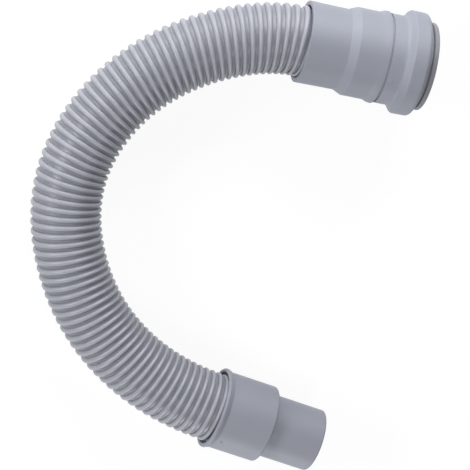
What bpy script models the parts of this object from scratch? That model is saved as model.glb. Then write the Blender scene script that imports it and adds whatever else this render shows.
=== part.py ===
"""Flexible drain connector, lying on a flat surface.

A spiral-ribbed waste hose joins a push-fit socket, which takes a waste pipe behind a rubber lip seal,
to a plain spigot, which goes into the next pipe's socket. Metres, +Z up. The socket opens along +X and
the hose swings round in a C, so that the spigot lies beside the socket.
"""

import math

import bmesh
import bpy
import numpy as np
from mathutils import Vector

# Fit between pieces that touch
SEAT_GAP = 0.0003

# Hose: one moulded wall with a helical rib, left-handed
HOSE_BORE_RADIUS = 0.0190
HOSE_WALL = 0.0013
RIB_HEIGHT = 0.0018
RIB_PITCH = 0.00511
RIB_FOOT_WIDTH = 0.0027
RIB_TOP_WIDTH = 0.0013
PLAIN_END = 0.0005

# Lie of the hose: its length between the fittings, and the bend radii at equal steps along it
FREE_HOSE_LENGTH = 0.3696
BEND_RADII = (0.0872, 0.1507, 0.1273, 0.1210, 0.0891, 0.1413, 0.1206, 0.1379, 0.2158)
SOCKET_SIDE_FALL = 0.163
SPIGOT_SIDE_RISE = 0.105

# Socket fitting, from its hose sleeve to its mouth
PIPE_RADIUS = 0.0250
PIPE_CLEARANCE = 0.00025
HOSE_SLEEVE_DEPTH = 0.0250
HOSE_SLEEVE_WALL = 0.0028
SLEEVE_DRAFT = 0.0003
PIPE_STOP_THICKNESS = 0.0035
STEP_LENGTH = 0.0055
PIPE_TUBE_LENGTH = 0.0298
PIPE_TUBE_WALL = 0.00235
STOP_RIDGE_HEIGHT = 0.0015
STOP_RIDGE_WIDTH = 0.0052
STOP_RIDGE_PLACE = 0.0178
RIDGE_STEP = 0.0005
CHAMBER_RISE = 0.0040
CHAMBER_LENGTH = 0.0151
CHAMBER_DROP = 0.0008
CHAMBER_WALL = 0.0026
CHAMBER_ROUND = 0.0020
SEAL_GROOVE_DEPTH = 0.0045
SEAL_GROOVE_WIDTH = 0.0094
GROOVE_END_WALL = 0.0013
COLLAR_LENGTH = 0.0049
COLLAR_ROUND = 0.0007
MOUTH_CHAMFER = 0.0006

# Lip seal in the chamber
SEAL_BODY_THICKNESS = 0.0030
SEAL_LIP_THICKNESS = 0.0014
SEAL_LIP_BITE = 0.0009
SEAL_LIP_REACH = 0.0052

# Spigot fitting, from its flared lip to its plain end
SPIGOT_RADIUS = 0.0200
SPIGOT_WALL = 0.0024
SPIGOT_LENGTH = 0.0347
SPIGOT_END_ROUND = 0.0013
SPIGOT_SLEEVE_LENGTH = 0.0355
SPIGOT_SLEEVE_WALL = 0.0023
SHOULDER_THICKNESS = 0.0028
SHOULDER_ROUND = 0.0017
LIP_CROWN_PLACE = 0.0014
LIP_FLARE = 0.0014
LIP_WALL = 0.0026
LIP_ROUND = 0.0016
LIP_DEPTH = 0.0050

# Facets
HOSE_SIDES = 14
FITTING_SIDES = 32
BORE_STEP = 0.016
ROUTE_STEPS = 1200
ARC_STEP = math.radians(32)
MERGE_DISTANCE = 0.00001
SHARP_ANGLE = math.radians(38)

# Colours, linear
PVC_GREY = (0.300, 0.312, 0.352, 1.0)
HOSE_GREY = (0.325, 0.337, 0.372, 1.0)
SEAL_BLACK = (0.012, 0.012, 0.013, 1.0)

COLLECTION_NAME = "flexible_drain_connector"

# Sizes that follow from those above
HOSE_VALLEY_RADIUS = HOSE_BORE_RADIUS + HOSE_WALL
HOSE_CREST_RADIUS = HOSE_VALLEY_RADIUS + RIB_HEIGHT
HOSE_SEAT_RADIUS = HOSE_CREST_RADIUS + SEAT_GAP
SLEEVE_RADIUS = HOSE_SEAT_RADIUS + HOSE_SLEEVE_WALL
PIPE_BORE_RADIUS = PIPE_RADIUS + PIPE_CLEARANCE
TUBE_RADIUS = PIPE_BORE_RADIUS + PIPE_TUBE_WALL
GROOVE_RADIUS = PIPE_BORE_RADIUS + SEAL_GROOVE_DEPTH
CHAMBER_RADIUS = GROOVE_RADIUS + CHAMBER_WALL
PIPE_STOP = HOSE_SLEEVE_DEPTH + PIPE_STOP_THICKNESS
TUBE_START = HOSE_SLEEVE_DEPTH + STEP_LENGTH
CHAMBER_START = TUBE_START + PIPE_TUBE_LENGTH + CHAMBER_RISE
CHAMBER_END = CHAMBER_START + CHAMBER_LENGTH - CHAMBER_RISE
SOCKET_LENGTH = CHAMBER_END + COLLAR_LENGTH
GROOVE_END = CHAMBER_END - CHAMBER_DROP - GROOVE_END_WALL
GROOVE_START = GROOVE_END - SEAL_GROOVE_WIDTH
SPIGOT_SLEEVE_RADIUS = HOSE_SEAT_RADIUS + SPIGOT_SLEEVE_WALL
LIP_RADIUS = SPIGOT_SLEEVE_RADIUS + LIP_FLARE
SPIGOT_STOP = SPIGOT_SLEEVE_LENGTH - SHOULDER_THICKNESS
SPIGOT_DIP = math.asin(LIP_FLARE / (SPIGOT_SLEEVE_LENGTH - LIP_CROWN_PLACE))


def smoothstep(share):
    """S-curve from 0 to 1 that starts and ends level."""
    return share * share * (3.0 - 2.0 * share)


def running_sum(values, step):
    """Trapezium sum of evenly spaced values, starting at 0."""
    return np.concatenate(([0.0], np.cumsum((values[1:] + values[:-1]) / 2.0 * step)))


class HoseRoute:
    """Centre line of the hose from stop to stop, with the level direction to its right.

    The heading is the sum of the bend, whose curvature runs straight from one stated radius to the
    next. The height comes down from the socket's axis to the surface, and up again to the spigot
    fitting, whose lip and shoulder both lie on the surface. The ends are straight inside the fittings.
    """

    def __init__(self):
        step = FREE_HOSE_LENGTH / ROUTE_STEPS
        run = np.linspace(0.0, FREE_HOSE_LENGTH, ROUTE_STEPS + 1)
        stations = np.linspace(0.0, FREE_HOSE_LENGTH, len(BEND_RADII))
        curvature = np.interp(run, stations, 1.0 / np.array(BEND_RADII))
        heading = math.pi + running_sum(curvature, step)
        points = np.column_stack((
            running_sum(np.cos(heading), step),
            running_sum(np.sin(heading), step),
            self.heights(run),
        ))
        self.start = Vector(points[0])
        self.end = Vector(points[-1])
        self.end_direction = Vector((math.cos(heading[-1]), math.sin(heading[-1]), 0.0))
        self.end_direction *= math.cos(SPIGOT_DIP)
        self.end_direction.z = -math.sin(SPIGOT_DIP)
        lead = HOSE_SLEEVE_DEPTH - SEAT_GAP
        tail = SPIGOT_STOP - SEAT_GAP
        first = points[0] + np.array((lead, 0.0, 0.0))
        last = points[-1] + tail * np.array(self.end_direction)
        self.points = np.vstack((first, points, last))
        self.headings = np.concatenate(([heading[0]], heading, [heading[-1]]))
        chords = np.linalg.norm(np.diff(self.points, axis=0), axis=1)
        self.along = np.concatenate(([0.0], np.cumsum(chords)))
        self.length = self.along[-1]

    @staticmethod
    def heights(run):
        """Height of the axis over the surface along the visible run."""
        level = HOSE_CREST_RADIUS
        fall = 1.0 - smoothstep(np.clip(run / SOCKET_SIDE_FALL, 0.0, 1.0))
        share = np.clip((run - FREE_HOSE_LENGTH + SPIGOT_SIDE_RISE) / SPIGOT_SIDE_RISE, 0.0, 1.0)
        lip_height = LIP_RADIUS * math.cos(SPIGOT_DIP) + LIP_CROWN_PLACE * math.sin(SPIGOT_DIP)
        end_slope = -math.tan(SPIGOT_DIP) * SPIGOT_SIDE_RISE
        rise = smoothstep(share) * (lip_height - level) + (share ** 3 - share ** 2) * end_slope
        return level + fall * (CHAMBER_RADIUS - level) + rise

    def place(self, along, angle, radius):
        """Points at a distance along the hose, an angle up from its right side and a radius."""
        centre = np.stack([np.interp(along, self.along, self.points[:, axis]) for axis in range(3)], -1)
        heading = np.interp(along, self.along, self.headings)
        slopes = np.gradient(self.points[:, 2], self.along)
        slope = np.interp(along, self.along, slopes)
        level = np.sqrt(1.0 - slope ** 2)
        right = np.stack((np.sin(heading), -np.cos(heading), np.zeros_like(heading)), -1)
        up = np.stack((-slope * np.cos(heading), -slope * np.sin(heading), level), -1)
        return centre + radius[..., None] * (np.cos(angle)[..., None] * right + np.sin(angle)[..., None] * up)


def rounded_outline(corners):
    """Closed outline through (radius, height, fillet) corners, as a list of (radius, height) points.

    Each fillet is an arc that touches both of its edges, limited to what the edges have room for.
    """
    outline = []
    for index, (radius, height, fillet) in enumerate(corners):
        corner = Vector((radius, height))
        back = Vector(corners[index - 1][:2]) - corner
        ahead = Vector(corners[(index + 1) % len(corners)][:2]) - corner
        turn = math.pi - back.angle(ahead)
        if fillet == 0.0 or turn < ARC_STEP / 8:
            outline.append(corner)
            continue
        reach = min(fillet * math.tan(turn / 2), 0.48 * back.length, 0.48 * ahead.length)
        arc_radius = reach / math.tan(turn / 2)
        middle = (back.normalized() + ahead.normalized()).normalized()
        centre = corner + middle * (arc_radius / math.cos(turn / 2))
        first = corner + back.normalized() * reach - centre
        last = corner + ahead.normalized() * reach - centre
        steps = max(1, round(turn / ARC_STEP))
        for step in range(steps + 1):
            share = step / steps
            spoke = first * math.sin((1 - share) * turn) + last * math.sin(share * turn)
            outline.append(centre + spoke / math.sin(turn))
    return outline


def turned(name, corners):
    """Ring-shaped body: a closed outline turned about its local Z axis."""
    outline = rounded_outline(corners)
    mesh = bpy.data.meshes.new(name)
    edges = [(index, (index + 1) % len(outline)) for index in range(len(outline))]
    mesh.from_pydata([(point.x, 0.0, point.y) for point in outline], edges, [])
    body = bpy.data.objects.new(name, mesh)
    screw = body.modifiers.new("Turn", "SCREW")
    screw.axis = "Z"
    screw.angle = math.tau
    screw.steps = FITTING_SIDES
    screw.render_steps = FITTING_SIDES
    screw.use_merge_vertices = True
    screw.merge_threshold = MERGE_DISTANCE
    bpy.context.scene.collection.objects.link(body)
    shape = body.evaluated_get(bpy.context.evaluated_depsgraph_get())
    turned_mesh = bpy.data.meshes.new_from_object(shape)
    bpy.data.objects.remove(body)
    return smooth_body(name, turned_mesh)


def smooth_body(name, mesh):
    """Object for a finished mesh, shaded smooth apart from its sharp edges."""
    mesh.name = name
    mesh.shade_smooth()
    mesh.set_sharp_from_angle(angle=SHARP_ANGLE)
    return bpy.data.objects.new(name, mesh)


def point_axis(body, origin, direction):
    """Puts a turned body's origin at a point, with its axis along a direction."""
    body.location = origin
    body.rotation_euler = direction.to_track_quat("Z", "Y").to_euler()


def socket_corners():
    """Outline of the socket fitting, heights measured from the rim of its hose sleeve."""
    ridge_middle = TUBE_START + STOP_RIDGE_PLACE
    ridge_half = STOP_RIDGE_WIDTH / 2
    tube_after = TUBE_RADIUS + RIDGE_STEP
    return [
        (TUBE_RADIUS, SOCKET_LENGTH, COLLAR_ROUND),
        (TUBE_RADIUS, CHAMBER_END, 0.0),
        (CHAMBER_RADIUS, CHAMBER_END - CHAMBER_DROP, CHAMBER_ROUND),
        (CHAMBER_RADIUS, CHAMBER_START, CHAMBER_ROUND),
        (tube_after, CHAMBER_START - CHAMBER_RISE, CHAMBER_ROUND),
        (tube_after, ridge_middle + ridge_half, 0.0),
        (TUBE_RADIUS + STOP_RIDGE_HEIGHT, ridge_middle + ridge_half / 2, ridge_half),
        (TUBE_RADIUS + STOP_RIDGE_HEIGHT, ridge_middle - ridge_half / 2, ridge_half),
        (TUBE_RADIUS, ridge_middle - ridge_half, 0.0),
        (TUBE_RADIUS, TUBE_START, STEP_LENGTH / 2),
        (SLEEVE_RADIUS, HOSE_SLEEVE_DEPTH, STEP_LENGTH / 2),
        (SLEEVE_RADIUS + SLEEVE_DRAFT, 0.0, SLEEVE_DRAFT),
        (HOSE_SEAT_RADIUS, 0.0, 0.0),
        (HOSE_SEAT_RADIUS, HOSE_SLEEVE_DEPTH, 0.0),
        (HOSE_BORE_RADIUS, HOSE_SLEEVE_DEPTH, 0.0),
        (HOSE_BORE_RADIUS, PIPE_STOP, 0.0),
        (PIPE_BORE_RADIUS, PIPE_STOP, 0.0),
        (PIPE_BORE_RADIUS, GROOVE_START, 0.0),
        (GROOVE_RADIUS, GROOVE_START, 0.0),
        (GROOVE_RADIUS, GROOVE_END, 0.0),
        (PIPE_BORE_RADIUS, GROOVE_END, 0.0),
        (PIPE_BORE_RADIUS, SOCKET_LENGTH - MOUTH_CHAMFER, 0.0),
        (PIPE_BORE_RADIUS + MOUTH_CHAMFER, SOCKET_LENGTH, 0.0),
    ]


def seal_corners():
    """Outline of the lip seal: a body that fills the groove, and a lip that leans away from the mouth."""
    outer = GROOVE_RADIUS - SEAT_GAP
    top = GROOVE_END - SEAT_GAP
    bottom = GROOVE_START + SEAT_GAP
    inner = outer - SEAL_BODY_THICKNESS
    tip = PIPE_RADIUS - SEAL_LIP_BITE
    lip_end = top - SEAL_LIP_REACH
    return [
        (outer, top, 0.0),
        (outer, bottom, 0.0),
        (inner, bottom, 0.0),
        (inner, top - SEAL_LIP_REACH / 2, 0.0),
        (tip + SEAL_LIP_THICKNESS / 2, lip_end, 0.0),
        (tip, lip_end + SEAL_LIP_THICKNESS / 2, 0.0),
        (inner - SEAL_LIP_THICKNESS, top, 0.0),
    ]


def spigot_corners():
    """Outline of the spigot fitting, heights measured from the opening of its flared lip."""
    spigot_bore = SPIGOT_RADIUS - SPIGOT_WALL
    end = SPIGOT_SLEEVE_LENGTH + SPIGOT_LENGTH
    lip_bore = LIP_RADIUS - LIP_WALL
    return [
        (SPIGOT_RADIUS, end, SPIGOT_END_ROUND),
        (SPIGOT_RADIUS, SPIGOT_SLEEVE_LENGTH, 0.0),
        (SPIGOT_SLEEVE_RADIUS, SPIGOT_SLEEVE_LENGTH, SHOULDER_ROUND),
        (SPIGOT_SLEEVE_RADIUS, LIP_DEPTH, LIP_ROUND),
        (LIP_RADIUS, LIP_CROWN_PLACE, LIP_ROUND),
        (LIP_RADIUS - LIP_FLARE / 4, 0.0, LIP_WALL / 3),
        (lip_bore, 0.0, LIP_WALL / 4),
        (lip_bore, LIP_CROWN_PLACE, 0.0),
        (HOSE_SEAT_RADIUS, LIP_DEPTH, 0.0),
        (HOSE_SEAT_RADIUS, SPIGOT_STOP, 0.0),
        (spigot_bore, SPIGOT_STOP, 0.0),
        (spigot_bore, end, 0.0),
    ]


def column_angles(columns):
    """Angles of the hose's columns, placed so that one column runs along its underside."""
    return math.tau * columns / HOSE_SIDES - math.pi / 2


def outer_wall(route, columns):
    """Ribbed outside of the hose: rows of points along the helix, as (points, faces).

    Every turn has four rows, at the rib's two feet and the two edges of its top. Column by column a row
    moves on by an equal share of the pitch, and after the last column it meets the row one turn on.
    Rows that would pass an end of the hose are drawn in to its end ring.
    """
    feet = (-RIB_FOOT_WIDTH / 2, -RIB_TOP_WIDTH / 2, RIB_TOP_WIDTH / 2, RIB_FOOT_WIDTH / 2)
    radii = (HOSE_VALLEY_RADIUS, HOSE_CREST_RADIUS, HOSE_CREST_RADIUS, HOSE_VALLEY_RADIUS)
    turns = np.arange(-1, math.ceil(route.length / RIB_PITCH) + 2)
    rows = (turns[:, None] * RIB_PITCH + np.array(feet)).ravel()
    along = rows[:, None] + RIB_PITCH * columns / HOSE_SIDES
    radius = np.tile(radii, len(turns))[:, None] + np.zeros_like(along)
    before = along < PLAIN_END
    beyond = along > route.length - PLAIN_END
    radius[before | beyond] = HOSE_VALLEY_RADIUS
    along = np.where(before, 0.0, np.where(beyond, route.length, along))
    angle = column_angles(columns) + np.zeros_like(along)
    points = route.place(along, angle, radius).reshape(-1, 3)
    grid = np.arange(len(rows) * HOSE_SIDES).reshape(len(rows), HOSE_SIDES)
    grid = np.hstack((grid[:-len(feet)], grid[len(feet):, :1]))
    return points, quads(grid)


def quads(grid):
    """Four-cornered faces of a grid of point numbers, facing away from the axis."""
    return np.stack((grid[:-1, :-1], grid[1:, :-1], grid[1:, 1:], grid[:-1, 1:]), -1).reshape(-1, 4)


def bore_wall(route, columns):
    """Smooth inside of the hose with both end faces, from one outer end ring to the other."""
    count = math.ceil(route.length / BORE_STEP)
    stations = np.linspace(0.0, route.length, count + 1)
    along = np.concatenate((stations[:1], stations, stations[-1:]))
    radii = np.full(len(along), HOSE_BORE_RADIUS)
    radii[[0, -1]] = HOSE_VALLEY_RADIUS
    angle = column_angles(columns) + np.zeros((len(along), 1))
    along = along[:, None] + np.zeros_like(angle)
    points = route.place(along, angle, radii[:, None] + np.zeros_like(angle)).reshape(-1, 3)
    grid = np.arange(len(points)).reshape(len(along), HOSE_SIDES)
    grid = np.hstack((grid, grid[:, :1]))
    return points, quads(grid)[:, ::-1]


def corrugated_hose(route):
    """The hose: its ribbed outside, smooth bore and flat ends, joined into one closed body."""
    columns = np.arange(HOSE_SIDES)
    outside, outside_faces = outer_wall(route, columns)
    inside, inside_faces = bore_wall(route, columns)
    points = np.vstack((outside, inside))
    faces = np.vstack((outside_faces, inside_faces + len(outside)))
    mesh = bpy.data.meshes.new("corrugated_hose")
    mesh.from_pydata(points.tolist(), [], faces.tolist())
    model = bmesh.new()
    model.from_mesh(mesh)
    bmesh.ops.remove_doubles(model, verts=model.verts, dist=MERGE_DISTANCE)
    loose = [vert for vert in model.verts if not vert.link_faces]
    bmesh.ops.delete(model, geom=loose, context="VERTS")
    model.to_mesh(mesh)
    model.free()
    return smooth_body("corrugated_hose", mesh)


def plastic(name, colour, roughness):
    """A plain moulded material."""
    material = bpy.data.materials.new(name)
    material.use_nodes = True
    shader = material.node_tree.nodes["Principled BSDF"]
    shader.inputs["Base Color"].default_value = colour
    shader.inputs["Roughness"].default_value = roughness
    shader.inputs["Metallic"].default_value = 0.0
    return material


def stand_on_origin(root, bodies):
    """Moves the root so that the assembly stands centred over the origin, lowest point at height 0."""
    bpy.context.view_layer.update()
    graph = bpy.context.evaluated_depsgraph_get()
    corners = []
    for body in bodies:
        shape = body.evaluated_get(graph)
        corners += [shape.matrix_world @ vertex.co for vertex in shape.data.vertices]
    places = np.array(corners)
    low = places.min(axis=0)
    high = places.max(axis=0)
    middle = (low + high) / 2
    root.location = (-middle[0], -middle[1], -low[2])


def clear_scene():
    """Removes every object from the scene."""
    for item in list(bpy.data.objects):
        bpy.data.objects.remove(item, do_unlink=True)


def build():
    """Builds the connector in its own collection."""
    clear_scene()
    collection = bpy.data.collections.new(COLLECTION_NAME)
    bpy.context.scene.collection.children.link(collection)
    route = HoseRoute()

    socket = turned("socket_fitting", socket_corners())
    seal = turned("lip_seal", seal_corners())
    spigot = turned("spigot_fitting", spigot_corners())
    hose = corrugated_hose(route)
    for body in (socket, seal):
        point_axis(body, route.start, Vector((1.0, 0.0, 0.0)))
    point_axis(spigot, route.end, route.end_direction)

    fitting_grey = plastic("fitting_grey", PVC_GREY, 0.42)
    hose_grey = plastic("hose_grey", HOSE_GREY, 0.35)
    seal_black = plastic("seal_black", SEAL_BLACK, 0.55)
    root = bpy.data.objects.new("connector_root", None)
    collection.objects.link(root)
    pieces = ((socket, fitting_grey), (seal, seal_black), (hose, hose_grey), (spigot, fitting_grey))
    for body, material in pieces:
        collection.objects.link(body)
        body.parent = root
        body.data.materials.append(material)
    stand_on_origin(root, [body for body, material in pieces])


build()
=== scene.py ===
"""Flexible drain connector, dressed and set on a pale studio floor.

A spiral-ribbed waste hose joins a push-fit socket, with a rubber lip seal inside, to a plain spigot.
Every piece is a surface worked out on a grid with numpy, in metres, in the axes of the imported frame.
The file is laid out as a Blender add-on and is run as a script.
"""

import math

import bmesh
import bpy
import numpy as np
from bpy.props import FloatProperty, FloatVectorProperty, IntProperty, PointerProperty
from mathutils import Matrix, Vector


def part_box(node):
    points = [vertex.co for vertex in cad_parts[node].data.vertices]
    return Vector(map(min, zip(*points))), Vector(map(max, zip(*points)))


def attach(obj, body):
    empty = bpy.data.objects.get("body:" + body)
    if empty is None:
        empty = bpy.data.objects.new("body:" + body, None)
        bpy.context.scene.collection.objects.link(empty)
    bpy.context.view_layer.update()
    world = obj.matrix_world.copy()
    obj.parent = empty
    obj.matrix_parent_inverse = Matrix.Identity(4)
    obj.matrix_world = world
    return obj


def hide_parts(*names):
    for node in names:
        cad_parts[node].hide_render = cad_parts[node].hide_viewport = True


bl_info = {
    "name": "Flexible drain connector",
    "version": (1, 0, 0),
    "blender": (4, 5, 0),
    "location": "View3D > Sidebar > Drain connector",
    "description": "Makes a ribbed waste hose with a push-fit socket and a spigot",
    "category": "Object",
}

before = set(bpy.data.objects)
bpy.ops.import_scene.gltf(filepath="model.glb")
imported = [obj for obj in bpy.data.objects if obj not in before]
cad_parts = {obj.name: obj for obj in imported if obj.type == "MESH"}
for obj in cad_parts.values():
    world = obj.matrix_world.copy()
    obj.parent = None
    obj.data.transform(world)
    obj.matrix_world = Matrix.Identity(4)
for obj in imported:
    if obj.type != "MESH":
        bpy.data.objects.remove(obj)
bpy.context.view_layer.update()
SOCKET_LOW, SOCKET_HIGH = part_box("socket_fitting")
SOCKET_AXIS_Y = (SOCKET_LOW.y + SOCKET_HIGH.y) / 2


def length(name, description, default):
    """A size in metres that a user may set."""
    return FloatProperty(name=name, description=description, default=default, unit="LENGTH", precision=5)


def number(name, description, default):
    """A plain number that a user may set."""
    return FloatProperty(name=name, description=description, default=default)


def part_of_one(name, description, default):
    """A share from 0 to 1 that a user may set."""
    return FloatProperty(
        name=name, description=description, default=default, subtype="FACTOR", min=0.0, max=1.0,
    )


def colour(name, description, default):
    """A linear colour that a user may set."""
    return FloatVectorProperty(
        name=name, description=description, default=default, subtype="COLOR", size=3, min=0.0, max=1.0,
    )


class HoseSizes(bpy.types.PropertyGroup):
    """Sizes of the ribbed hose and of the way it lies."""

    bore_radius: length("Bore radius", "Radius of the smooth inside", 0.0190)
    wall: length("Wall", "Thickness of the wall between the ribs", 0.0011)
    rib_height: length("Rib height", "Height of the rib over the wall", 0.0020)
    rib_pitch: length("Rib pitch", "Distance from one turn of the rib to the next", 0.00512)
    rib_share: part_of_one("Rib share", "Share of the pitch that the rib's bead takes", 0.66)
    rib_phase: number("Rib phase", "Share of a turn by which the rib starts further on", -0.074)
    rib_skew: length("Rib skew", "How far the ribs lean in plan at the socket, to either side", 0.0010)
    free_length: length("Free length", "Length between the two fittings", 0.3696)
    socket_side_fall: length("Fall", "Length over which the hose comes down from the socket", 0.163)
    spigot_side_rise: length("Rise", "Length over which the hose meets the spigot fitting's height", 0.105)
    columns: IntProperty(name="Columns", description="Points round the hose", default=80, min=12)


class SocketSizes(bpy.types.PropertyGroup):
    """Sizes of the socket fitting and of the seal in it."""

    sleeve_depth: length("Sleeve depth", "Depth of the sleeve that the hose is glued in", 0.0250)
    sleeve_wall: length("Sleeve wall", "Wall of that sleeve", 0.0028)
    sleeve_draft: length("Sleeve draft", "Growth of the sleeve's radius towards its rim", 0.0003)
    stop_thickness: length("Stop", "Thickness of the stop between hose and pipe", 0.0035)
    step_length: length("Step", "Length of the cone between sleeve and tube", 0.0055)
    pipe_radius: length("Pipe radius", "Radius of the pipe that fits the socket", 0.0250)
    pipe_clearance: length("Pipe clearance", "Gap round the pipe", 0.00025)
    tube_length: length("Tube length", "Length of the tube from the cone to the chamber's rise", 0.0304)
    tube_wall: length("Tube wall", "Wall of that tube", 0.00235)
    ridge_place: length("Ridge place", "Middle of the ridge, from the cone", 0.0178)
    ridge_width: length("Ridge width", "Width of the ridge", 0.0052)
    ridge_height: length("Ridge height", "Height of the ridge", 0.0015)
    tube_step: length("Tube step", "Growth of the tube's radius past the ridge", 0.0005)
    chamber_rise: length("Chamber rise", "Length of the rise to the seal chamber", 0.0034)
    chamber_length: length("Chamber length", "Length of the seal chamber with its rise", 0.0145)
    chamber_drop: length("Chamber drop", "How far the chamber's end face leans back", 0.0008)
    chamber_wall: length("Chamber wall", "Wall over the seal", 0.0026)
    groove_depth: length("Groove depth", "Depth of the seal's groove", 0.0045)
    groove_width: length("Groove width", "Width of the seal's groove", 0.0094)
    groove_end_wall: length("Groove end wall", "Wall between the groove and the chamber's end", 0.0013)
    collar_length: length("Collar", "Length of the collar at the mouth", 0.0049)
    collar_gap: length("Collar gap", "Width and depth of the groove between chamber and collar", 0.0019)
    edge_round: length("Edge round", "Rounding of the steps' edges", 0.0010)
    seal_body: length("Seal body", "Thickness of the seal in its groove", 0.0030)
    seal_lip: length("Seal lip", "Thickness of the seal's lip", 0.0014)
    seal_bite: length("Seal bite", "How far the lip stands inside the pipe's radius", 0.0009)
    seal_reach: length("Seal reach", "Length of the lip along the pipe", 0.0052)


class SpigotSizes(bpy.types.PropertyGroup):
    """Sizes of the spigot fitting."""

    sleeve_length: length("Sleeve length", "Length of the sleeve from its lip to the shoulder", 0.0355)
    sleeve_wall: length("Sleeve wall", "Wall of the sleeve that the hose is glued in", 0.0023)
    shoulder: length("Shoulder", "Thickness of the shoulder", 0.0028)
    shoulder_round: length("Shoulder round", "Rounding of the shoulder's edge", 0.0012)
    spigot_radius: length("Spigot radius", "Radius of the plain end", 0.0200)
    spigot_wall: length("Spigot wall", "Wall of the plain end", 0.0024)
    spigot_length: length("Spigot length", "Length of the plain end", 0.0347)
    spigot_round: length("Spigot round", "Rounding of the plain end's edge", 0.0015)
    lip_flare: length("Lip flare", "How far the lip stands out from the sleeve", 0.0014)
    lip_wall: length("Lip wall", "Wall of the lip", 0.0026)
    lip_crown: length("Lip crown", "Place of the lip's widest ring, from its opening", 0.0014)
    lip_depth: length("Lip depth", "Depth of the space inside the lip", 0.0050)


class Finishes(bpy.types.PropertyGroup):
    """Colours of the materials, linear."""

    fitting_grey: colour("Fitting grey", "Moulded plastic of the fittings", (0.308, 0.324, 0.381))
    collar_grey: colour("Collar grey", "Warmer plastic of the collar at the mouth", (0.262, 0.264, 0.300))
    rib_grey: colour("Rib grey", "Stiff plastic of the hose's rib", (0.372, 0.384, 0.438))
    # Darker than the rib grey: painted shade in the hose's valleys
    shaded_wall_grey: colour("Wall grey", "Soft plastic of the hose's wall", (0.284, 0.292, 0.331))
    seal_black: colour("Seal black", "Rubber of the seal", (0.012, 0.012, 0.013))
    floor_white: colour("Floor white", "Paper of the floor", (0.80, 0.80, 0.80))


class StageSettings(bpy.types.PropertyGroup):
    """Camera and lights."""

    camera_place: FloatVectorProperty(
        name="Camera place", description="Where the camera stands",
        default=(SOCKET_LOW.x - 0.336664, SOCKET_AXIS_Y + 0.149756, 1.60925),
        subtype="TRANSLATION", unit="LENGTH",
    )
    lens: FloatProperty(
        name="Lens", description="Focal length in millimetres", default=201.29, unit="CAMERA",
    )
    lamp_share: part_of_one("Lamp share", "Share of the lamps' stated power", 1.0)
    lamp_distance: length("Lamp distance", "Distance of the lamps from the middle of the floor", 1.5)
    sky_strength: number("Sky", "Strength of the surroundings' light", 0.04)
    white_strength: number("White", "Strength of the surroundings in sight", 1.0)
    floor_glow: number("Floor glow", "White that the floor shows by itself", 1.08)
    shadow_share: part_of_one("Shadow share", "Share of lit paper in the floor that is seen", 0.15)


class ConnectorSettings(bpy.types.PropertyGroup):
    """Everything that a user may set."""

    hose: PointerProperty(type=HoseSizes)
    socket: PointerProperty(type=SocketSizes)
    spigot: PointerProperty(type=SpigotSizes)
    finishes: PointerProperty(type=Finishes)
    stage: PointerProperty(type=StageSettings)


# Room for the glue round the hose, and round the seal in its groove
SEAT_GAP = 0.0003
# Radii of the hose's bend at equal steps over its free length
BEND_RADII = (0.0872, 0.1507, 0.1273, 0.1210, 0.0891, 0.1413, 0.1206, 0.1379, 0.2158)
ROUTE_STEPS = 1200
# Stretch before the spigot fitting over which the hose's upright rings come to lean with its axis
LEAN_RUN = 0.020


def smoothstep(share):
    """S-curve from 0 to 1 that starts and ends level."""
    return share * share * (3.0 - 2.0 * share)


def running_sum(values, step):
    """Trapezium sum of evenly spaced values, starting at 0."""
    return np.concatenate(([0.0], np.cumsum((values[1:] + values[:-1]) / 2.0 * step)))


class Fits:
    """Radii and places that follow from the settings, shared by the pieces."""

    def __init__(self, settings):
        hose = settings.hose
        socket = settings.socket
        spigot = settings.spigot
        self.valley = hose.bore_radius + hose.wall
        self.crest = self.valley + hose.rib_height
        self.seat = self.crest + SEAT_GAP
        self.socket_sleeve = self.seat + socket.sleeve_wall
        self.pipe_bore = socket.pipe_radius + socket.pipe_clearance
        self.tube = self.pipe_bore + socket.tube_wall
        self.groove = self.pipe_bore + socket.groove_depth
        self.chamber = self.groove + socket.chamber_wall
        self.pipe_stop = socket.sleeve_depth + socket.stop_thickness
        self.tube_start = socket.sleeve_depth + socket.step_length
        self.chamber_start = self.tube_start + socket.tube_length + socket.chamber_rise
        self.chamber_end = self.chamber_start + socket.chamber_length - socket.chamber_rise
        self.socket_length = self.chamber_end + socket.collar_length
        self.groove_end = self.chamber_end - socket.chamber_drop - socket.groove_end_wall
        self.groove_start = self.groove_end - socket.groove_width
        self.spigot_sleeve = self.seat + spigot.sleeve_wall
        self.lip = self.spigot_sleeve + spigot.lip_flare
        self.spigot_stop = spigot.sleeve_length - spigot.shoulder
        self.dip = math.asin(spigot.lip_flare / (spigot.sleeve_length - spigot.lip_crown))


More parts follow.
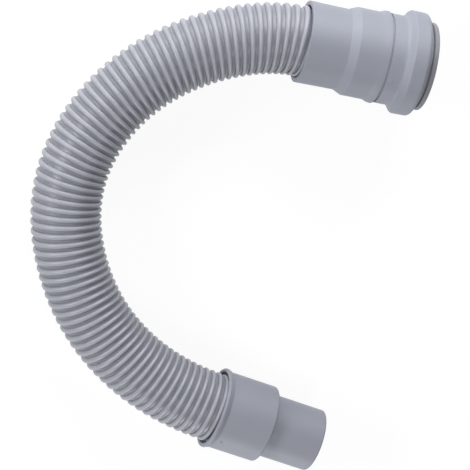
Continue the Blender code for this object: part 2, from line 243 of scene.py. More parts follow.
class HoseRoute:
    """Centre line of the hose from stop to stop.

    The heading is the running sum of the bend, whose curvature goes straight from one stated radius to
    the next. The height comes down from the socket's axis to the floor and up again to the spigot
    fitting. It starts at the middle of the socket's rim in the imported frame.
    """

    def __init__(self, settings, fits):
        free = settings.hose.free_length
        step = free / ROUTE_STEPS
        run = np.linspace(0.0, free, ROUTE_STEPS + 1)
        stations = np.linspace(0.0, free, len(BEND_RADII))
        bend = np.interp(run, stations, 1.0 / np.array(BEND_RADII))
        heading = math.pi + running_sum(bend, step)
        points = np.column_stack((
            running_sum(np.cos(heading), step) + SOCKET_LOW.x,
            running_sum(np.sin(heading), step) + SOCKET_AXIS_Y,
            self.heights(run, settings, fits),
        ))
        self.start = points[0]
        self.end = points[-1]
        level = np.array((math.cos(heading[-1]), math.sin(heading[-1]), 0.0))
        self.end_direction = math.cos(fits.dip) * level - np.array((0.0, 0.0, math.sin(fits.dip)))
        lead = settings.socket.sleeve_depth - SEAT_GAP
        tail = fits.spigot_stop - SEAT_GAP
        first = points[0] + np.array((lead, 0.0, 0.0))
        last = points[-1] + tail * self.end_direction
        self.points = np.vstack((first, points, last))
        self.headings = np.concatenate(([heading[0]], heading, [heading[-1]]))
        chords = np.linalg.norm(np.diff(self.points, axis=0), axis=1)
        self.along = np.concatenate(([0.0], np.cumsum(chords)))
        self.length = self.along[-1]
        slope = np.gradient(self.points[:, 2], self.along)
        to_fitting = self.length - tail - self.along
        self.lean = slope * smoothstep(np.clip(1.0 - to_fitting / LEAN_RUN, 0.0, 1.0))

    @staticmethod
    def heights(run, settings, fits):
        """Height of the axis over the floor along the free length.

        It is the crest's radius, plus an S-curve down from the socket's height, plus a cubic that goes
        up to the lip's height and ends at the spigot fitting's slope.
        """
        hose = settings.hose
        fall = 1.0 - smoothstep(np.clip(run / hose.socket_side_fall, 0.0, 1.0))
        share = np.clip((run - hose.free_length) / hose.spigot_side_rise + 1.0, 0.0, 1.0)
        lip_height = fits.lip * math.cos(fits.dip) + settings.spigot.lip_crown * math.sin(fits.dip)
        end_slope = -math.tan(fits.dip) * hose.spigot_side_rise
        rise = smoothstep(share) * (lip_height - fits.crest) + (share ** 3 - share ** 2) * end_slope
        return fits.crest + fall * (fits.chamber - fits.crest) + rise

    def place(self, along, angle, radius):
        """Points at a distance along the hose, an angle up from its outer side and a radius.

        The rings stand upright along the free length and lean with the axis towards the spigot fitting.
        """
        centre = np.stack([np.interp(along, self.along, self.points[:, axis]) for axis in range(3)], -1)
        heading = np.interp(along, self.along, self.headings)
        slope = np.interp(along, self.along, self.lean)
        level = np.sqrt(1.0 - slope ** 2)
        right = np.stack((np.sin(heading), -np.cos(heading), np.zeros_like(heading)), -1)
        up = np.stack((-slope * np.cos(heading), -slope * np.sin(heading), level), -1)
        spoke = np.cos(angle)[..., None] * right + np.sin(angle)[..., None] * up
        return centre + radius[..., None] * spoke


# Meshes

def grid_faces(grid):
    """Four-cornered faces of a grid of point numbers."""
    return np.stack((grid[:-1, :-1], grid[1:, :-1], grid[1:, 1:], grid[:-1, 1:]), -1).reshape(-1, 4)


def add_attribute(mesh, name, values):
    """Puts a number or a vector on each point of a mesh."""
    kind, field = ("FLOAT", "value") if values.ndim == 1 else ("FLOAT_VECTOR", "vector")
    layer = mesh.attributes.new(name, kind, "POINT")
    layer.data.foreach_set(field, values.astype(np.float32).ravel())


def add_object(name, data):
    """A new object in the scene for a mesh, light or camera."""
    item = bpy.data.objects.new(name, data)
    bpy.context.scene.collection.objects.link(item)
    return item


def enclosed_volume(points, faces):
    """Volume inside closed four-cornered faces: positive when they face outwards."""
    a, b, c, d = (points[faces[:, corner]] for corner in range(4))
    return float((np.cross(a, b) * c).sum() + (np.cross(a, c) * d).sum()) / 6.0


# Turned pieces

TURN_SEGMENTS = 192
# Steps of an outline's points: round its fillets, next to the ends of its edges and between them
ARC_STEP = math.radians(9)
EDGE_SUPPORT = 0.00012
EDGE_STEP = 0.0008
# Share of an edge that the fillet at one of its ends may take
FILLET_SHARE = 0.48
# Edges that turn by more than this are shaded sharp
TURNED_SHARP = math.radians(40)


def rounded_outline(corners):
    """Closed outline through (radius, height, fillet) corners, as an array of (radius, height) points.

    Each fillet is an arc that touches both of its edges, limited to what the edges have room for: the
    arc's points are the two end spokes mixed by the sines of the angle to go and the angle gone. Straight
    stretches get points close to their ends, which keep their shading flat, and points between.
    """
    table = np.array(corners, float)
    spots = table[:, :2]
    outline = []
    for index, (spot, fillet) in enumerate(zip(spots, table[:, 2])):
        back = spots[index - 1] - spot
        ahead = spots[(index + 1) % len(spots)] - spot
        back_length = np.linalg.norm(back)
        ahead_length = np.linalg.norm(ahead)
        back = back / back_length
        ahead = ahead / ahead_length
        turn = math.pi - math.acos(np.clip(back @ ahead, -1.0, 1.0))
        if fillet == 0.0 or turn < ARC_STEP / 4:
            outline.append(spot[None])
            continue
        reach = min(fillet * math.tan(turn / 2), FILLET_SHARE * min(back_length, ahead_length))
        radius = reach / math.tan(turn / 2)
        middle = (back + ahead) / np.linalg.norm(back + ahead)
        centre = spot + middle * radius / math.cos(turn / 2)
        first = spot + back * reach - centre
        last = spot + ahead * reach - centre
        share = np.linspace(0.0, 1.0, max(2, math.ceil(turn / ARC_STEP) + 1))[:, None]
        arc = first * np.sin((1 - share) * turn) + last * np.sin(share * turn)
        outline.append(centre + arc / math.sin(turn))
    return with_supports(np.vstack(outline))


def with_supports(outline):
    """The outline with points added near the ends of its long edges and evenly between them."""
    ahead = np.roll(outline, -1, axis=0)
    pieces = []
    for start, stop in zip(outline, ahead):
        edge = np.linalg.norm(stop - start)
        pieces.append(start[None])
        if edge > 4 * EDGE_SUPPORT:
            inner = np.linspace(EDGE_SUPPORT, edge - EDGE_SUPPORT, max(2, math.ceil(edge / EDGE_STEP)))
            pieces.append(start + (stop - start) * (inner / edge)[:, None])
    return np.vstack(pieces)


def axis_frame(direction):
    """A direction's unit vector and two square to it, the first level and the second towards the sky."""
    forward = np.array(direction) / np.linalg.norm(direction)
    side = np.cross(forward, (0.0, 0.0, 1.0))
    side /= np.linalg.norm(side)
    return forward, side, np.cross(side, forward)


def turned_piece(name, corners, origin, direction, shaped=None):
    """Ring-shaped piece: outline point (r, h) goes to origin + h * axis + r * (cos a * side + sin a * up).

    The grid closes on itself both round the axis and round the outline. A shaping function may change
    the radius by height and angle. The points keep their height along the axis as an attribute.
    """
    outline = rounded_outline(corners)
    forward, side, up = axis_frame(direction)
    angle = math.tau * np.arange(TURN_SEGMENTS) / TURN_SEGMENTS
    spoke = np.cos(angle)[:, None] * side + np.sin(angle)[:, None] * up
    radius = outline[:, :1] + np.zeros_like(angle)
    if shaped:
        radius = shaped(radius, outline[:, 1:] + np.zeros_like(angle), angle)
    points = np.array(origin) + outline[:, None, 1:] * forward + radius[..., None] * spoke
    rows, columns = points.shape[:2]
    grid = np.arange(rows * columns).reshape(rows, columns)
    grid = np.vstack((grid, grid[:1]))
    grid = np.hstack((grid, grid[:, :1]))
    points = points.reshape(-1, 3)
    faces = grid_faces(grid.T)
    if enclosed_volume(points, faces) < 0.0:
        faces = faces[:, ::-1]
    mesh = bpy.data.meshes.new(name)
    mesh.from_pydata(points.tolist(), [], faces.tolist())
    mesh.shade_smooth()
    mesh.set_sharp_from_angle(angle=TURNED_SHARP)
    add_attribute(mesh, "height", np.repeat(outline[:, 1], columns))
    return add_object(name, mesh)


# Rounding of the mouldings' edges: the crisp ones, and those that look sharp
CRISP = 0.0003
SHARP = 0.0001


def socket_corners(settings, fits):
    """Corners of the socket fitting, as (radius, height, fillet) from the rim of its hose sleeve.

    They go from the mouth back along the outside and out again along the bore. The groove between
    chamber and collar and the notch next to the ridge are steps down to a smaller radius and up again.
    """
    socket = settings.socket
    middle = fits.tube_start + socket.ridge_place
    half = socket.ridge_width / 2
    crown = fits.tube + socket.ridge_height
    after = fits.tube + socket.tube_step
    notch = after - 0.0010
    notch_start = middle + half - 0.0001
    notch_end = notch_start + 0.0005
    chamber_taper = 0.0001
    chamber_round = 0.0024
    collar_round = 0.0012
    foot_round = 0.0008
    rim_round = 0.0004
    stop_round = 0.0005
    lead_rise = 0.0005
    lead_depth = 0.0012
    chamfer = 0.0006
    gap = socket.collar_gap
    edge = socket.edge_round
    return [
        (fits.tube, fits.socket_length, collar_round),
        (fits.tube, fits.chamber_end + gap, foot_round),
        (fits.tube - gap, fits.chamber_end + gap * 0.8, CRISP),
        (fits.tube - gap, fits.chamber_end - gap * 0.2, CRISP),
        (fits.tube, fits.chamber_end - gap * 0.3, 0.0),
        (fits.chamber, fits.chamber_end - socket.chamber_drop, chamber_round),
        (fits.chamber + chamber_taper, fits.chamber_start, edge),
        (after, fits.chamber_start - socket.chamber_rise, edge * 3.0),
        (after, notch_end + 0.0002, 0.0),
        (notch, notch_end, SHARP),
        (notch, notch_start, SHARP),
        (crown, middle + half * 0.7, half * 0.4),
        (crown - socket.ridge_height * 0.2, middle - half * 0.3, half * 1.4),
        (fits.tube, middle - half * 1.5, half),
        (fits.tube, fits.tube_start, edge),
        (fits.socket_sleeve, socket.sleeve_depth, edge),
        (fits.socket_sleeve + socket.sleeve_draft, 0.0, rim_round),
        (fits.seat + lead_rise, 0.0, CRISP),
        (fits.seat, lead_depth, 0.0),
        (fits.seat, socket.sleeve_depth, 0.0),
        (settings.hose.bore_radius, socket.sleeve_depth, 0.0),
        (settings.hose.bore_radius, fits.pipe_stop, stop_round),
        (fits.pipe_bore, fits.pipe_stop, 0.0),
        (fits.pipe_bore, fits.groove_start, CRISP),
        (fits.groove, fits.groove_start, 0.0),
        (fits.groove, fits.groove_end, 0.0),
        (fits.pipe_bore, fits.groove_end, CRISP),
        (fits.pipe_bore, fits.socket_length - chamfer, CRISP),
        (fits.pipe_bore + chamfer, fits.socket_length, CRISP),
    ]


# The ridge's two lugs: their turn round the axis, how narrow they are, and the share of the ridge's
# height that is left between them
LUG_TURN = math.radians(10)
LUG_POWER = 6
LUG_LEFT = 0.12
# The small raised mark of each fitting: height from the rim or lip, degrees round the axis, at one of
# the grid's spokes, and rise
SOCKET_MARK = (0.0542, 67.5, 0.00070)
SPIGOT_MARK = (0.0072, 50.625, 0.00090)
# Half width of a mark along the axis and round it
MARK_REACH = (0.0008, 0.0006)


def marked(radius, height, angle, mark, inner):
    """Radii over an inner one, raised at a mark by rise * exp(-(distance / reach) squared)."""
    spot, degrees, rise = mark
    aside = (angle - math.radians(degrees)) * radius
    far = ((height - spot) / MARK_REACH[0]) ** 2 + (aside / MARK_REACH[1]) ** 2
    return np.where(radius > inner, radius + rise * np.exp(-far), radius)


def socket_shaping(settings, fits):
    """Shaping of the socket: its mark, and a ridge that stands full at two lugs, nearly flush between.

    The ridge keeps a share of its height that goes with a power of the cosine of the turn from a lug.
    """
    width = settings.socket.ridge_width
    middle = fits.tube_start + settings.socket.ridge_place

    def shaped(radius, height, angle):
        kept = LUG_LEFT + (1.0 - LUG_LEFT) * np.abs(np.cos(angle - LUG_TURN)) ** LUG_POWER
        over = np.maximum(radius - fits.tube, 0.0)
        on_ridge = (height > middle - width) & (height < middle + width * 0.45)
        radius = np.where(on_ridge, radius - over * (1.0 - kept), radius)
        return marked(radius, height, angle, SOCKET_MARK, fits.pipe_bore + SEAT_GAP)

    return shaped


def spigot_shaping(fits):
    """Shaping of the spigot fitting: its mark."""

    def shaped(radius, height, angle):
        return marked(radius, height, angle, SPIGOT_MARK, fits.seat + SEAT_GAP * 2)

    return shaped


def seal_corners(settings, fits):
    """Corners of the lip seal: a body that fills the groove, and a lip that leans away from the mouth."""
    socket = settings.socket
    outer = fits.groove - SEAT_GAP
    top = fits.groove_end - SEAT_GAP
    bottom = fits.groove_start + SEAT_GAP
    inner = outer - socket.seal_body
    tip = socket.pipe_radius - socket.seal_bite
    lip_end = top - socket.seal_reach
    body_round = 0.0004
    lip_round = 0.0005
    return [
        (outer, top, body_round),
        (outer, bottom, body_round),
        (inner, bottom, body_round),
        (inner, top - socket.seal_reach / 2, lip_round),
        (tip + socket.seal_lip / 2, lip_end, lip_round),
        (tip, lip_end + socket.seal_lip / 2, lip_round),
        (inner - socket.seal_lip, top, lip_round),
    ]


def spigot_corners(settings, fits):
    """Corners of the spigot fitting, as (radius, height, fillet) from the opening of its flared lip.

    They go from the plain end back along the outside, over a groove at the foot of the shoulder, and
    out again along the bore.
    """
    spigot = settings.spigot
    bore = spigot.spigot_radius - spigot.spigot_wall
    end = spigot.sleeve_length + spigot.spigot_length
    lip_bore = fits.lip - spigot.lip_wall
    groove = 0.0008
    undercut = 0.0003
    flare_round = 0.0014
    crown_round = 0.0020
    rim_round = 0.0004
    lip_round = spigot.lip_wall / 3
    inner_round = 0.0012
    return [
        (spigot.spigot_radius, end, spigot.spigot_round),
        (spigot.spigot_radius, spigot.sleeve_length + groove, 0.0),
        (spigot.spigot_radius - groove, spigot.sleeve_length + groove / 2, SHARP),
        (spigot.spigot_radius - groove, spigot.sleeve_length - undercut, SHARP),
        (spigot.spigot_radius, spigot.sleeve_length - undercut, 0.0),
        (fits.spigot_sleeve, spigot.sleeve_length, spigot.shoulder_round),
        (fits.spigot_sleeve, spigot.lip_depth * 0.9, flare_round),
        (fits.lip, spigot.lip_crown, crown_round),
        (fits.lip - spigot.lip_flare / 4, 0.0, lip_round),
        (lip_bore, 0.0, lip_round),
        (lip_bore, spigot.lip_crown, inner_round),
        (fits.seat, spigot.lip_depth, inner_round / 2),
        (fits.seat, fits.spigot_stop, 0.0),
        (bore, fits.spigot_stop, CRISP),
        (bore, end, rim_round),
    ]


# Ribbed hose

# Rows of one turn: five over half the bead, three in the valley, four up the next bead. Each lies at a
# share of the pitch plus a multiple of the bead's half width, and stands at a share of its height.
BEAD_TURN = np.radians((0.0, 22.5, 45.0, 67.5, 90.0))
ROW_START = np.array((0, 0, 0, 0, 0, 0.25, 0.5, 0.75, 1, 1, 1, 1))
ROW_REACH = np.concatenate((np.sin(BEAD_TURN), (0.5, 0.0, -0.5), -np.sin(BEAD_TURN[:0:-1])))
ROW_RISE = np.concatenate((np.cos(BEAD_TURN), (0.0, 0.0, 0.0), np.cos(BEAD_TURN[:0:-1])))
RIB_ROWS = len(ROW_START)
# Turns of rows past each end of the hose, which fold flat onto its end rings
SPARE_TURNS = 2
# Step of the rings along the smooth bore
BORE_STEP = 0.0045
# Points closer than this are one: where the spare rows fold flat and where the two grids meet
MERGE_DISTANCE = 0.000005
HOSE_SHARP = math.radians(60)
# How far the ribs lie along the hose from an even spacing, at equal steps over the free length
RIB_DRIFT = (0.0004, -0.0002, -0.0003, -0.0004, 0.0002, 0.0008, 0.0007, -0.0003, -0.0017)


def ring_angles(hose):
    """Angles of the points round the hose, from its lowest point up its outer side."""
    return math.tau * np.arange(hose.columns) / hose.columns - math.pi / 2


def hose_outside(settings, fits, route):
    """Outside of the hose as a grid whose rows run along the helix, with its strand and crest values.

    The crest lies at (turn + share of the way round from the lowest point + phase) * pitch along the
    centre line, and a little off that by the drift and by the skew, which fades over half the free length
    and lets the outer side lie nearer the socket. The rib's section is half an ellipse over its share of
    the pitch, so the ribs and the plain wall between them are wide outside a bend and narrow inside it.
    """
    hose = settings.hose
    turns = np.arange(-SPARE_TURNS, math.ceil(route.length / hose.rib_pitch) + SPARE_TURNS)
    angle = ring_angles(hose)
    start = turns[:, None] + np.arange(hose.columns) / hose.columns + hose.rib_phase
    share = np.tile(ROW_START + ROW_REACH * hose.rib_share / 2, len(turns))[:, None] + np.zeros_like(angle)
    turned = share + np.repeat(start, RIB_ROWS, axis=0)
    even = turned * hose.rib_pitch
    lead = settings.socket.sleeve_depth - SEAT_GAP
    stations = np.linspace(lead, lead + hose.free_length, len(RIB_DRIFT))
    angle = angle + np.zeros_like(even)
    skew = hose.rib_skew * np.clip(1.0 - (even - lead) / (hose.free_length / 2), 0.0, 1.0)
    along = even + np.interp(even, stations, RIB_DRIFT) - skew * np.cos(angle)
    crest = np.tile(ROW_RISE, len(turns))[:, None] + np.zeros_like(along)
    inside = (along > 0.0) & (along < route.length)
    crest = np.where(inside, crest, 0.0)
    along = np.clip(along, 0.0, route.length)
    points = route.place(along, angle, fits.valley + hose.rib_height * crest).reshape(-1, 3)
    strand = np.stack((share, turned, 0.0 * turned), -1)
    grid = np.arange(along.size).reshape(along.shape)
    grid = np.hstack((grid[:-RIB_ROWS], grid[RIB_ROWS:, :1]))
    return points, grid_faces(grid), strand.reshape(-1, 3), crest.reshape(-1)


def hose_inside(settings, fits, route):
    """Smooth bore and the two flat end faces, as a grid from one outer end ring to the other."""
    hose = settings.hose
    stations = np.linspace(0.0, route.length, math.ceil(route.length / BORE_STEP) + 1)
    along = np.concatenate((stations[:1], stations, stations[-1:]))
    radius = np.full(len(along), hose.bore_radius)
    radius[[0, -1]] = fits.valley
    angle = ring_angles(hose) + np.zeros((len(along), 1))
    along = along[:, None] + np.zeros_like(angle)
    points = route.place(along, angle, radius[:, None] + np.zeros_like(angle)).reshape(-1, 3)
    grid = np.arange(len(points)).reshape(along.shape)
    grid = np.hstack((grid, grid[:, :1]))
    return points, grid_faces(grid)[:, ::-1]


def hose_piece(settings, fits, route):
    """The hose: outside and inside joined into one closed body, with its strand and crest attributes."""
    outside, outside_faces, strand, crest = hose_outside(settings, fits, route)
    inside, inside_faces = hose_inside(settings, fits, route)
    points = np.vstack((outside, inside))
    faces = np.vstack((outside_faces, inside_faces + len(outside)))
    mesh = bpy.data.meshes.new("ribbed_hose")
    mesh.from_pydata(points.tolist(), [], faces.tolist())
    add_attribute(mesh, "strand", np.vstack((strand, inside)))
    add_attribute(mesh, "crest", np.concatenate((crest, np.zeros(len(inside)))))
    model = bmesh.new()
    model.from_mesh(mesh)
    bmesh.ops.remove_doubles(model, verts=model.verts, dist=MERGE_DISTANCE)
    loose = [vert for vert in model.verts if not vert.link_faces]
    bmesh.ops.delete(model, geom=loose, context="VERTS")
    model.to_mesh(mesh)
    model.free()
    mesh.shade_smooth()
    mesh.set_sharp_from_angle(angle=HOSE_SHARP)
    return add_object("ribbed_hose", mesh)


# Materials

# Colour sockets of a Mix node, which has like-named ones for other kinds of value
MIX_A = 6
MIX_B = 7
MIX_RESULT = 2


def new_node(tree, kind, inputs=None, **properties):
    """A node with its properties, and with the values of its inputs by name or number."""
    node = tree.nodes.new(kind)
    for name, value in properties.items():
        setattr(node, name, value)
    for socket, value in (inputs or {}).items():
        node.inputs[socket].default_value = value
    return node


def skin_group():
    """Node group for the skin of moulded plastic and rubber, from a soft mottle and a fine grain.

    Tone is 1 + Mottle * (mottle - 1/2), Roughness is raised by its spread * (mottle + grain - 1), and
    Height is the grain.
    """
    name = "moulded_skin"
    if name in bpy.data.node_groups:
        return bpy.data.node_groups[name]
    tree = bpy.data.node_groups.new(name, "ShaderNodeTree")
    face = tree.interface
    face.new_socket("Place", in_out="INPUT", socket_type="NodeSocketVector")
    for socket in ("Mottle size", "Grain size", "Mottle", "Roughness", "Roughness spread"):
        face.new_socket(socket, in_out="INPUT", socket_type="NodeSocketFloat")
    for socket in ("Tone", "Roughness", "Height"):
        face.new_socket(socket, in_out="OUTPUT", socket_type="NodeSocketFloat")
    source = tree.nodes.new("NodeGroupInput")
    sink = tree.nodes.new("NodeGroupOutput")
    link = tree.links.new

    def noise(size_socket, detail, roughness):
        """Noise whose features have the size that an input gives."""
        scale = new_node(tree, "ShaderNodeMath", operation="DIVIDE", inputs={0: 1.0})
        link(source.outputs[size_socket], scale.inputs[1])
        texture = new_node(tree, "ShaderNodeTexNoise", inputs={"Detail": detail, "Roughness": roughness})
        link(source.outputs["Place"], texture.inputs["Vector"])
        link(scale.outputs[0], texture.inputs["Scale"])
        return texture.outputs["Fac"]

    mottle = noise("Mottle size", 4.0, 0.6)
    grain = noise("Grain size", 2.0, 0.5)
    centred = new_node(tree, "ShaderNodeMath", operation="SUBTRACT", inputs={1: 0.5})
    link(mottle, centred.inputs[0])
    tone = new_node(tree, "ShaderNodeMath", operation="MULTIPLY_ADD", inputs={2: 1.0})
    link(centred.outputs[0], tone.inputs[0])
    link(source.outputs["Mottle"], tone.inputs[1])
    link(tone.outputs[0], sink.inputs["Tone"])
    both = new_node(tree, "ShaderNodeMath", operation="ADD")
    link(mottle, both.inputs[0])
    link(grain, both.inputs[1])
    spread = new_node(tree, "ShaderNodeMath", operation="SUBTRACT", inputs={1: 1.0})
    link(both.outputs[0], spread.inputs[0])
    rough = new_node(tree, "ShaderNodeMath", operation="MULTIPLY_ADD")
    link(spread.outputs[0], rough.inputs[0])
    link(source.outputs["Roughness spread"], rough.inputs[1])
    link(source.outputs["Roughness"], rough.inputs[2])
    link(rough.outputs[0], sink.inputs["Roughness"])
    link(grain, sink.inputs["Height"])
    return tree


def skin_nodes(tree, **values):
    """The moulded skin group in a material's tree, laid over the object's own coordinates."""
    place = new_node(tree, "ShaderNodeTexCoord").outputs["Object"]
    group = new_node(tree, "ShaderNodeGroup", node_tree=skin_group())
    for socket, value in values.items():
        group.inputs[socket.replace("_", " ").capitalize()].default_value = value
    tree.links.new(place, group.inputs["Place"])
    return group


def toned(tree, colour_socket, tone_socket):
    """A colour multiplied by a tone that varies round 1."""
    mix = new_node(tree, "ShaderNodeVectorMath", operation="SCALE")
    tree.links.new(colour_socket, mix.inputs[0])
    tree.links.new(tone_socket, mix.inputs["Scale"])
    return mix.outputs[0]


def finish_surface(tree, shader, base, skin, height, strength, distance):
    """Feeds a shader with a base colour toned by the skin, the skin's roughness and a bump."""
    tree.links.new(toned(tree, base, skin.outputs["Tone"]), shader.inputs["Base Color"])
    tree.links.new(skin.outputs["Roughness"], shader.inputs["Roughness"])
    bump = new_node(tree, "ShaderNodeBump", inputs={"Strength": strength, "Distance": distance})
    tree.links.new(height, bump.inputs["Height"])
    tree.links.new(bump.outputs[0], shader.inputs["Normal"])


def two_colours(tree, first, second, mask):
    """The first colour where a mask is 0 and the second where it is 1."""
    colours = {MIX_A: (*first, 1.0), MIX_B: (*second, 1.0)}
    mix = new_node(tree, "ShaderNodeMix", data_type="RGBA", inputs=colours)
    tree.links.new(mask, mix.inputs["Factor"])
    return mix.outputs[MIX_RESULT]


def point_attribute(tree, name):
    """The node that reads an attribute of the mesh."""
    return new_node(tree, "ShaderNodeAttribute", attribute_name=name, attribute_type="GEOMETRY")


def bare_material(name):
    """A material with a Principled BSDF, as (material, tree, shader)."""
    material = bpy.data.materials.new(name)
    material.use_nodes = True
    tree = material.node_tree
    return material, tree, tree.nodes["Principled BSDF"]


# A height that no fitting reaches, for one without a collar
NO_COLLAR = 1.0


def fitting_material(settings, collar_start=NO_COLLAR):
    """Satin moulded grey plastic: mottled a little, with a fine skin grain and a warmer collar."""
    material, tree, shader = bare_material("satin_grey_moulding")
    skin = skin_nodes(
        tree, mottle_size=0.009, grain_size=0.0006, mottle=0.05, roughness=0.54, roughness_spread=0.08,
    )
    collar = new_node(tree, "ShaderNodeMath", operation="GREATER_THAN", inputs={1: collar_start})
    tree.links.new(point_attribute(tree, "height").outputs["Fac"], collar.inputs[0])
    finishes = settings.finishes
    base = two_colours(tree, finishes.fitting_grey, finishes.collar_grey, collar.outputs[0])
    finish_surface(tree, shader, base, skin, skin.outputs["Height"], strength=0.12, distance=0.00004)
    return material


# Lines drawn in the hose's skin: how many fit across the rib's pitch and along one turn, and their
# depth against that of the grain
STRAND_LINES = (28.0, 9.0, 1.0)
LINE_DEPTH = 0.7


def hose_material(settings):
    """Shiny soft grey plastic darkened as painted shade in the valleys, a lighter stiff rib, and fine lines
    drawn along the strand.
    """
    material, tree, shader = bare_material("drawn_grey_hose")
    skin = skin_nodes(
        tree, mottle_size=0.012, grain_size=0.0005, mottle=0.06, roughness=0.38, roughness_spread=0.08,
    )
    lines_place = new_node(tree, "ShaderNodeVectorMath", operation="MULTIPLY", inputs={1: STRAND_LINES})
    tree.links.new(point_attribute(tree, "strand").outputs["Vector"], lines_place.inputs[0])
    lines = new_node(tree, "ShaderNodeTexNoise", inputs={"Scale": 1.0, "Detail": 2.0, "Roughness": 0.5})
    tree.links.new(lines_place.outputs[0], lines.inputs["Vector"])
    height = new_node(tree, "ShaderNodeMath", operation="MULTIPLY_ADD", inputs={1: LINE_DEPTH})
    tree.links.new(lines.outputs["Fac"], height.inputs[0])
    tree.links.new(skin.outputs["Height"], height.inputs[2])
    finishes = settings.finishes
    # Painted shade: the crest value mixes the darker wall grey into the valleys and the rib grey up onto
    # each bead
    crest = point_attribute(tree, "crest").outputs["Fac"]
    base = two_colours(tree, finishes.shaded_wall_grey, finishes.rib_grey, crest)
    finish_surface(tree, shader, base, skin, height.outputs[0], strength=0.15, distance=0.00004)
    return material


def seal_material(settings):
    """Matt black rubber with a dusty grain."""
    material, tree, shader = bare_material("matt_black_rubber")
    skin = skin_nodes(
        tree, mottle_size=0.004, grain_size=0.0003, mottle=0.4, roughness=0.6, roughness_spread=0.1,
    )
    rubber = new_node(tree, "ShaderNodeRGB")
    rubber.outputs[0].default_value = (*settings.finishes.seal_black, 1.0)
    base = rubber.outputs[0]
    finish_surface(tree, shader, base, skin, skin.outputs["Height"], strength=0.3, distance=0.00005)
    return material


def shown_white(tree, lit, shown):
    """Shader that shows one look to camera, glossy and transmission rays and another to all other light."""
    path = new_node(tree, "ShaderNodeLightPath")
    seen = new_node(tree, "ShaderNodeMath", operation="MAXIMUM")
    tree.links.new(path.outputs["Is Camera Ray"], seen.inputs[0])
    tree.links.new(path.outputs["Is Glossy Ray"], seen.inputs[1])
    any_ray = new_node(tree, "ShaderNodeMath", operation="MAXIMUM")
    tree.links.new(seen.outputs[0], any_ray.inputs[0])
    tree.links.new(path.outputs["Is Transmission Ray"], any_ray.inputs[1])
    choice = new_node(tree, "ShaderNodeMixShader")
    tree.links.new(any_ray.outputs[0], choice.inputs[0])
    tree.links.new(lit, choice.inputs[1])
    tree.links.new(shown, choice.inputs[2])
    return choice.outputs[0]


# Stage

FLOOR_SIZE = 8.0
FLOOR_DROP = 0.00005
LAMP_SIZE = (0.8, 0.45)
LAMP_AIM = (0.0, 0.0, 0.02)
# Name, degrees over the floor, degrees round from +X, watts
LAMPS = (
    ("back_low", 8, 90, 6.2),
    ("back_left_low", 8, 120, 6.4),
    ("front_low", 8, 270, 8.7),
    ("back", 32, 90, 10.4),
    ("left", 32, 180, 11.6),
    ("front_high", 60, 300, 4.8),
)
# The photograph's directions to the right and into the picture, and the sensor's width in millimetres
CAMERA_RIGHT = (0.96326, 0.21638, 0.15908)
CAMERA_FORWARD = (0.19747, -0.16917, -0.96560)
SENSOR_WIDTH = 36.0


def make_floor(settings):
    """A pale floor, just under the object, that shows white and keeps the object's shadow."""
    half = FLOOR_SIZE / 2
    mesh = bpy.data.meshes.new("floor")
    corners = [(half * x, half * y, -FLOOR_DROP) for x, y in ((-1, -1), (1, -1), (1, 1), (-1, 1))]
    mesh.from_pydata(corners, [], [(0, 1, 2, 3)])
    floor = add_object("floor", mesh)
    material = bpy.data.materials.new("floor_paper")
    material.use_nodes = True
    tree = material.node_tree
    tree.nodes.clear()
    paper = new_node(tree, "ShaderNodeBsdfDiffuse")
    paper.inputs["Color"].default_value = (*settings.finishes.floor_white, 1.0)
    glow = new_node(tree, "ShaderNodeEmission", inputs={"Strength": settings.stage.floor_glow})
    white = new_node(tree, "ShaderNodeMixShader", inputs={0: settings.stage.shadow_share})
    tree.links.new(glow.outputs[0], white.inputs[1])
    tree.links.new(paper.outputs[0], white.inputs[2])
    output = new_node(tree, "ShaderNodeOutputMaterial")
    tree.links.new(shown_white(tree, paper.outputs[0], white.outputs[0]), output.inputs["Surface"])
    mesh.materials.append(material)


def make_world(settings):
    """White surroundings: a plain soft light, full white where the camera sees them."""
    world = bpy.data.worlds.new("studio")
    world.use_nodes = True
    tree = world.node_tree
    tree.nodes.clear()
    sky = new_node(tree, "ShaderNodeBackground", inputs={"Strength": settings.stage.sky_strength})
    white = new_node(tree, "ShaderNodeBackground", inputs={"Strength": settings.stage.white_strength})
    output = new_node(tree, "ShaderNodeOutputWorld")
    tree.links.new(shown_white(tree, sky.outputs[0], white.outputs[0]), output.inputs[0])
    bpy.context.scene.world = world


def make_light(name, height, turn, distance, power):
    """A rectangular soft light that faces its aim, from degrees over the floor and round from +X."""
    data = bpy.data.lights.new(name, "AREA")
    data.shape = "RECTANGLE"
    data.size, data.size_y = LAMP_SIZE
    data.energy = power
    lamp = add_object(name, data)
    away = Matrix.Rotation(math.radians(turn), 3, "Z") @ Matrix.Rotation(math.radians(-height), 3, "Y")
    lamp.location = away @ Vector((distance, 0.0, 0.0))
    lamp.rotation_euler = (lamp.location - Vector(LAMP_AIM)).to_track_quat("Z", "Y").to_euler()


def make_camera(settings):
    """The camera at the photograph's viewing angle."""
    stage = settings.stage
    data = bpy.data.cameras.new("camera")
    data.lens = stage.lens
    data.sensor_width = SENSOR_WIDTH
    camera = add_object("camera", data)
    forward = np.array(CAMERA_FORWARD) / np.linalg.norm(CAMERA_FORWARD)
    right = np.array(CAMERA_RIGHT)
    right -= forward * (right @ forward)
    right /= np.linalg.norm(right)
    up = np.cross(right, forward)
    turn = Matrix(np.column_stack((right, up, -forward)).tolist()).to_4x4()
    turn.translation = stage.camera_place
    camera.matrix_world = turn
    bpy.context.scene.camera = camera


# Operators

class PieceMaker:
    """What the operators share: the settings, the fits and the route of the hose."""

    bl_options = {"REGISTER", "UNDO"}

    @staticmethod
    def prepare(context):
        """Reads the settings and works out the fits and the route."""
        settings = context.scene.drain_connector
        fits = Fits(settings)
        return settings, fits, HoseRoute(settings, fits)

    @staticmethod
    def dress(piece, node, slot, material):
        """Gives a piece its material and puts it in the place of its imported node."""
        piece.data.materials.append(material)
        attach(piece, "root")
        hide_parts(node)


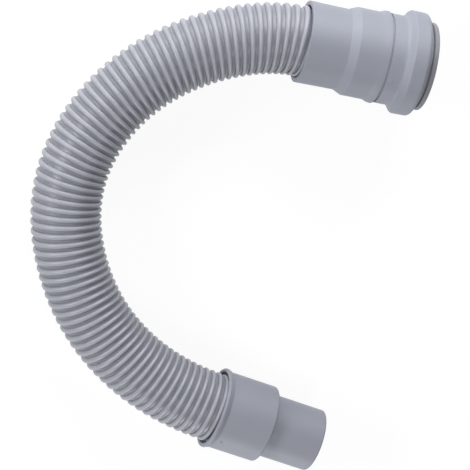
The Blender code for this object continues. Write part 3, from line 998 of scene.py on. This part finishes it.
class CONNECTOR_OT_socket(PieceMaker, bpy.types.Operator):
    """Makes the socket fitting that takes the waste pipe"""

    bl_idname = "connector.socket"
    bl_label = "Socket fitting"

    def execute(self, context):
        settings, fits, route = self.prepare(context)
        shaped = socket_shaping(settings, fits)
        corners = socket_corners(settings, fits)
        piece = turned_piece("socket_moulding", corners, route.start, (1.0, 0.0, 0.0), shaped)
        self.dress(piece, "socket_fitting", "fitting_grey", fitting_material(settings, fits.chamber_end))
        return {"FINISHED"}


class CONNECTOR_OT_seal(PieceMaker, bpy.types.Operator):
    """Makes the rubber lip seal in the socket"""

    bl_idname = "connector.seal"
    bl_label = "Lip seal"

    def execute(self, context):
        settings, fits, route = self.prepare(context)
        piece = turned_piece("rubber_seal", seal_corners(settings, fits), route.start, (1.0, 0.0, 0.0))
        self.dress(piece, "lip_seal", "seal_black", seal_material(settings))
        return {"FINISHED"}


class CONNECTOR_OT_spigot(PieceMaker, bpy.types.Operator):
    """Makes the spigot fitting with its flared lip"""

    bl_idname = "connector.spigot"
    bl_label = "Spigot fitting"

    def execute(self, context):
        settings, fits, route = self.prepare(context)
        corners = spigot_corners(settings, fits)
        shaped = spigot_shaping(fits)
        piece = turned_piece("spigot_moulding", corners, route.end, route.end_direction, shaped)
        self.dress(piece, "spigot_fitting", "fitting_grey", fitting_material(settings))
        return {"FINISHED"}


class CONNECTOR_OT_hose(PieceMaker, bpy.types.Operator):
    """Makes the ribbed hose"""

    bl_idname = "connector.hose"
    bl_label = "Ribbed hose"

    def execute(self, context):
        settings, fits, route = self.prepare(context)
        piece = hose_piece(settings, fits, route)
        self.dress(piece, "corrugated_hose", "hose_grey", hose_material(settings))
        return {"FINISHED"}


class CONNECTOR_OT_stage(bpy.types.Operator):
    """Sets the floor, the lights and the camera"""

    bl_idname = "connector.stage"
    bl_label = "Stage"
    bl_options = {"REGISTER", "UNDO"}

    def execute(self, context):
        settings = context.scene.drain_connector
        make_camera(settings)
        make_floor(settings)
        make_world(settings)
        stage = settings.stage
        for name, height, turn, power in LAMPS:
            make_light(name, height, turn, stage.lamp_distance, power * stage.lamp_share)
        context.scene.view_settings.view_transform = "Standard"
        return {"FINISHED"}


class CONNECTOR_PT_panel(bpy.types.Panel):
    """Lists the pieces and their sizes in the 3D view's sidebar"""

    bl_idname = "CONNECTOR_PT_panel"
    bl_label = "Drain connector"
    bl_space_type = "VIEW_3D"
    bl_region_type = "UI"
    bl_category = "Drain connector"

    def draw(self, context):
        settings = context.scene.drain_connector
        for operator in OPERATORS:
            self.layout.operator(operator.bl_idname)
        for group in (settings.hose, settings.socket, settings.spigot, settings.finishes, settings.stage):
            column = self.layout.box().column()
            for name in group.__annotations__:
                column.prop(group, name)


GROUPS = (HoseSizes, SocketSizes, SpigotSizes, Finishes, StageSettings, ConnectorSettings)
OPERATORS = (
    CONNECTOR_OT_stage, CONNECTOR_OT_spigot, CONNECTOR_OT_hose, CONNECTOR_OT_socket, CONNECTOR_OT_seal,
)


def register():
    """Registers the classes and the scene's settings."""
    for item in (*GROUPS, *OPERATORS, CONNECTOR_PT_panel):
        bpy.utils.register_class(item)
    bpy.types.Scene.drain_connector = PointerProperty(type=ConnectorSettings)


def unregister():
    """Takes them out again."""
    del bpy.types.Scene.drain_connector
    for item in reversed((*GROUPS, *OPERATORS, CONNECTOR_PT_panel)):
        bpy.utils.unregister_class(item)


def main():
    """Makes the stage and every piece."""
    register()
    bpy.ops.connector.stage()
    bpy.ops.connector.spigot()
    bpy.ops.connector.hose()
    bpy.ops.connector.socket()
    bpy.ops.connector.seal()


if __name__ == "__main__":
    main()
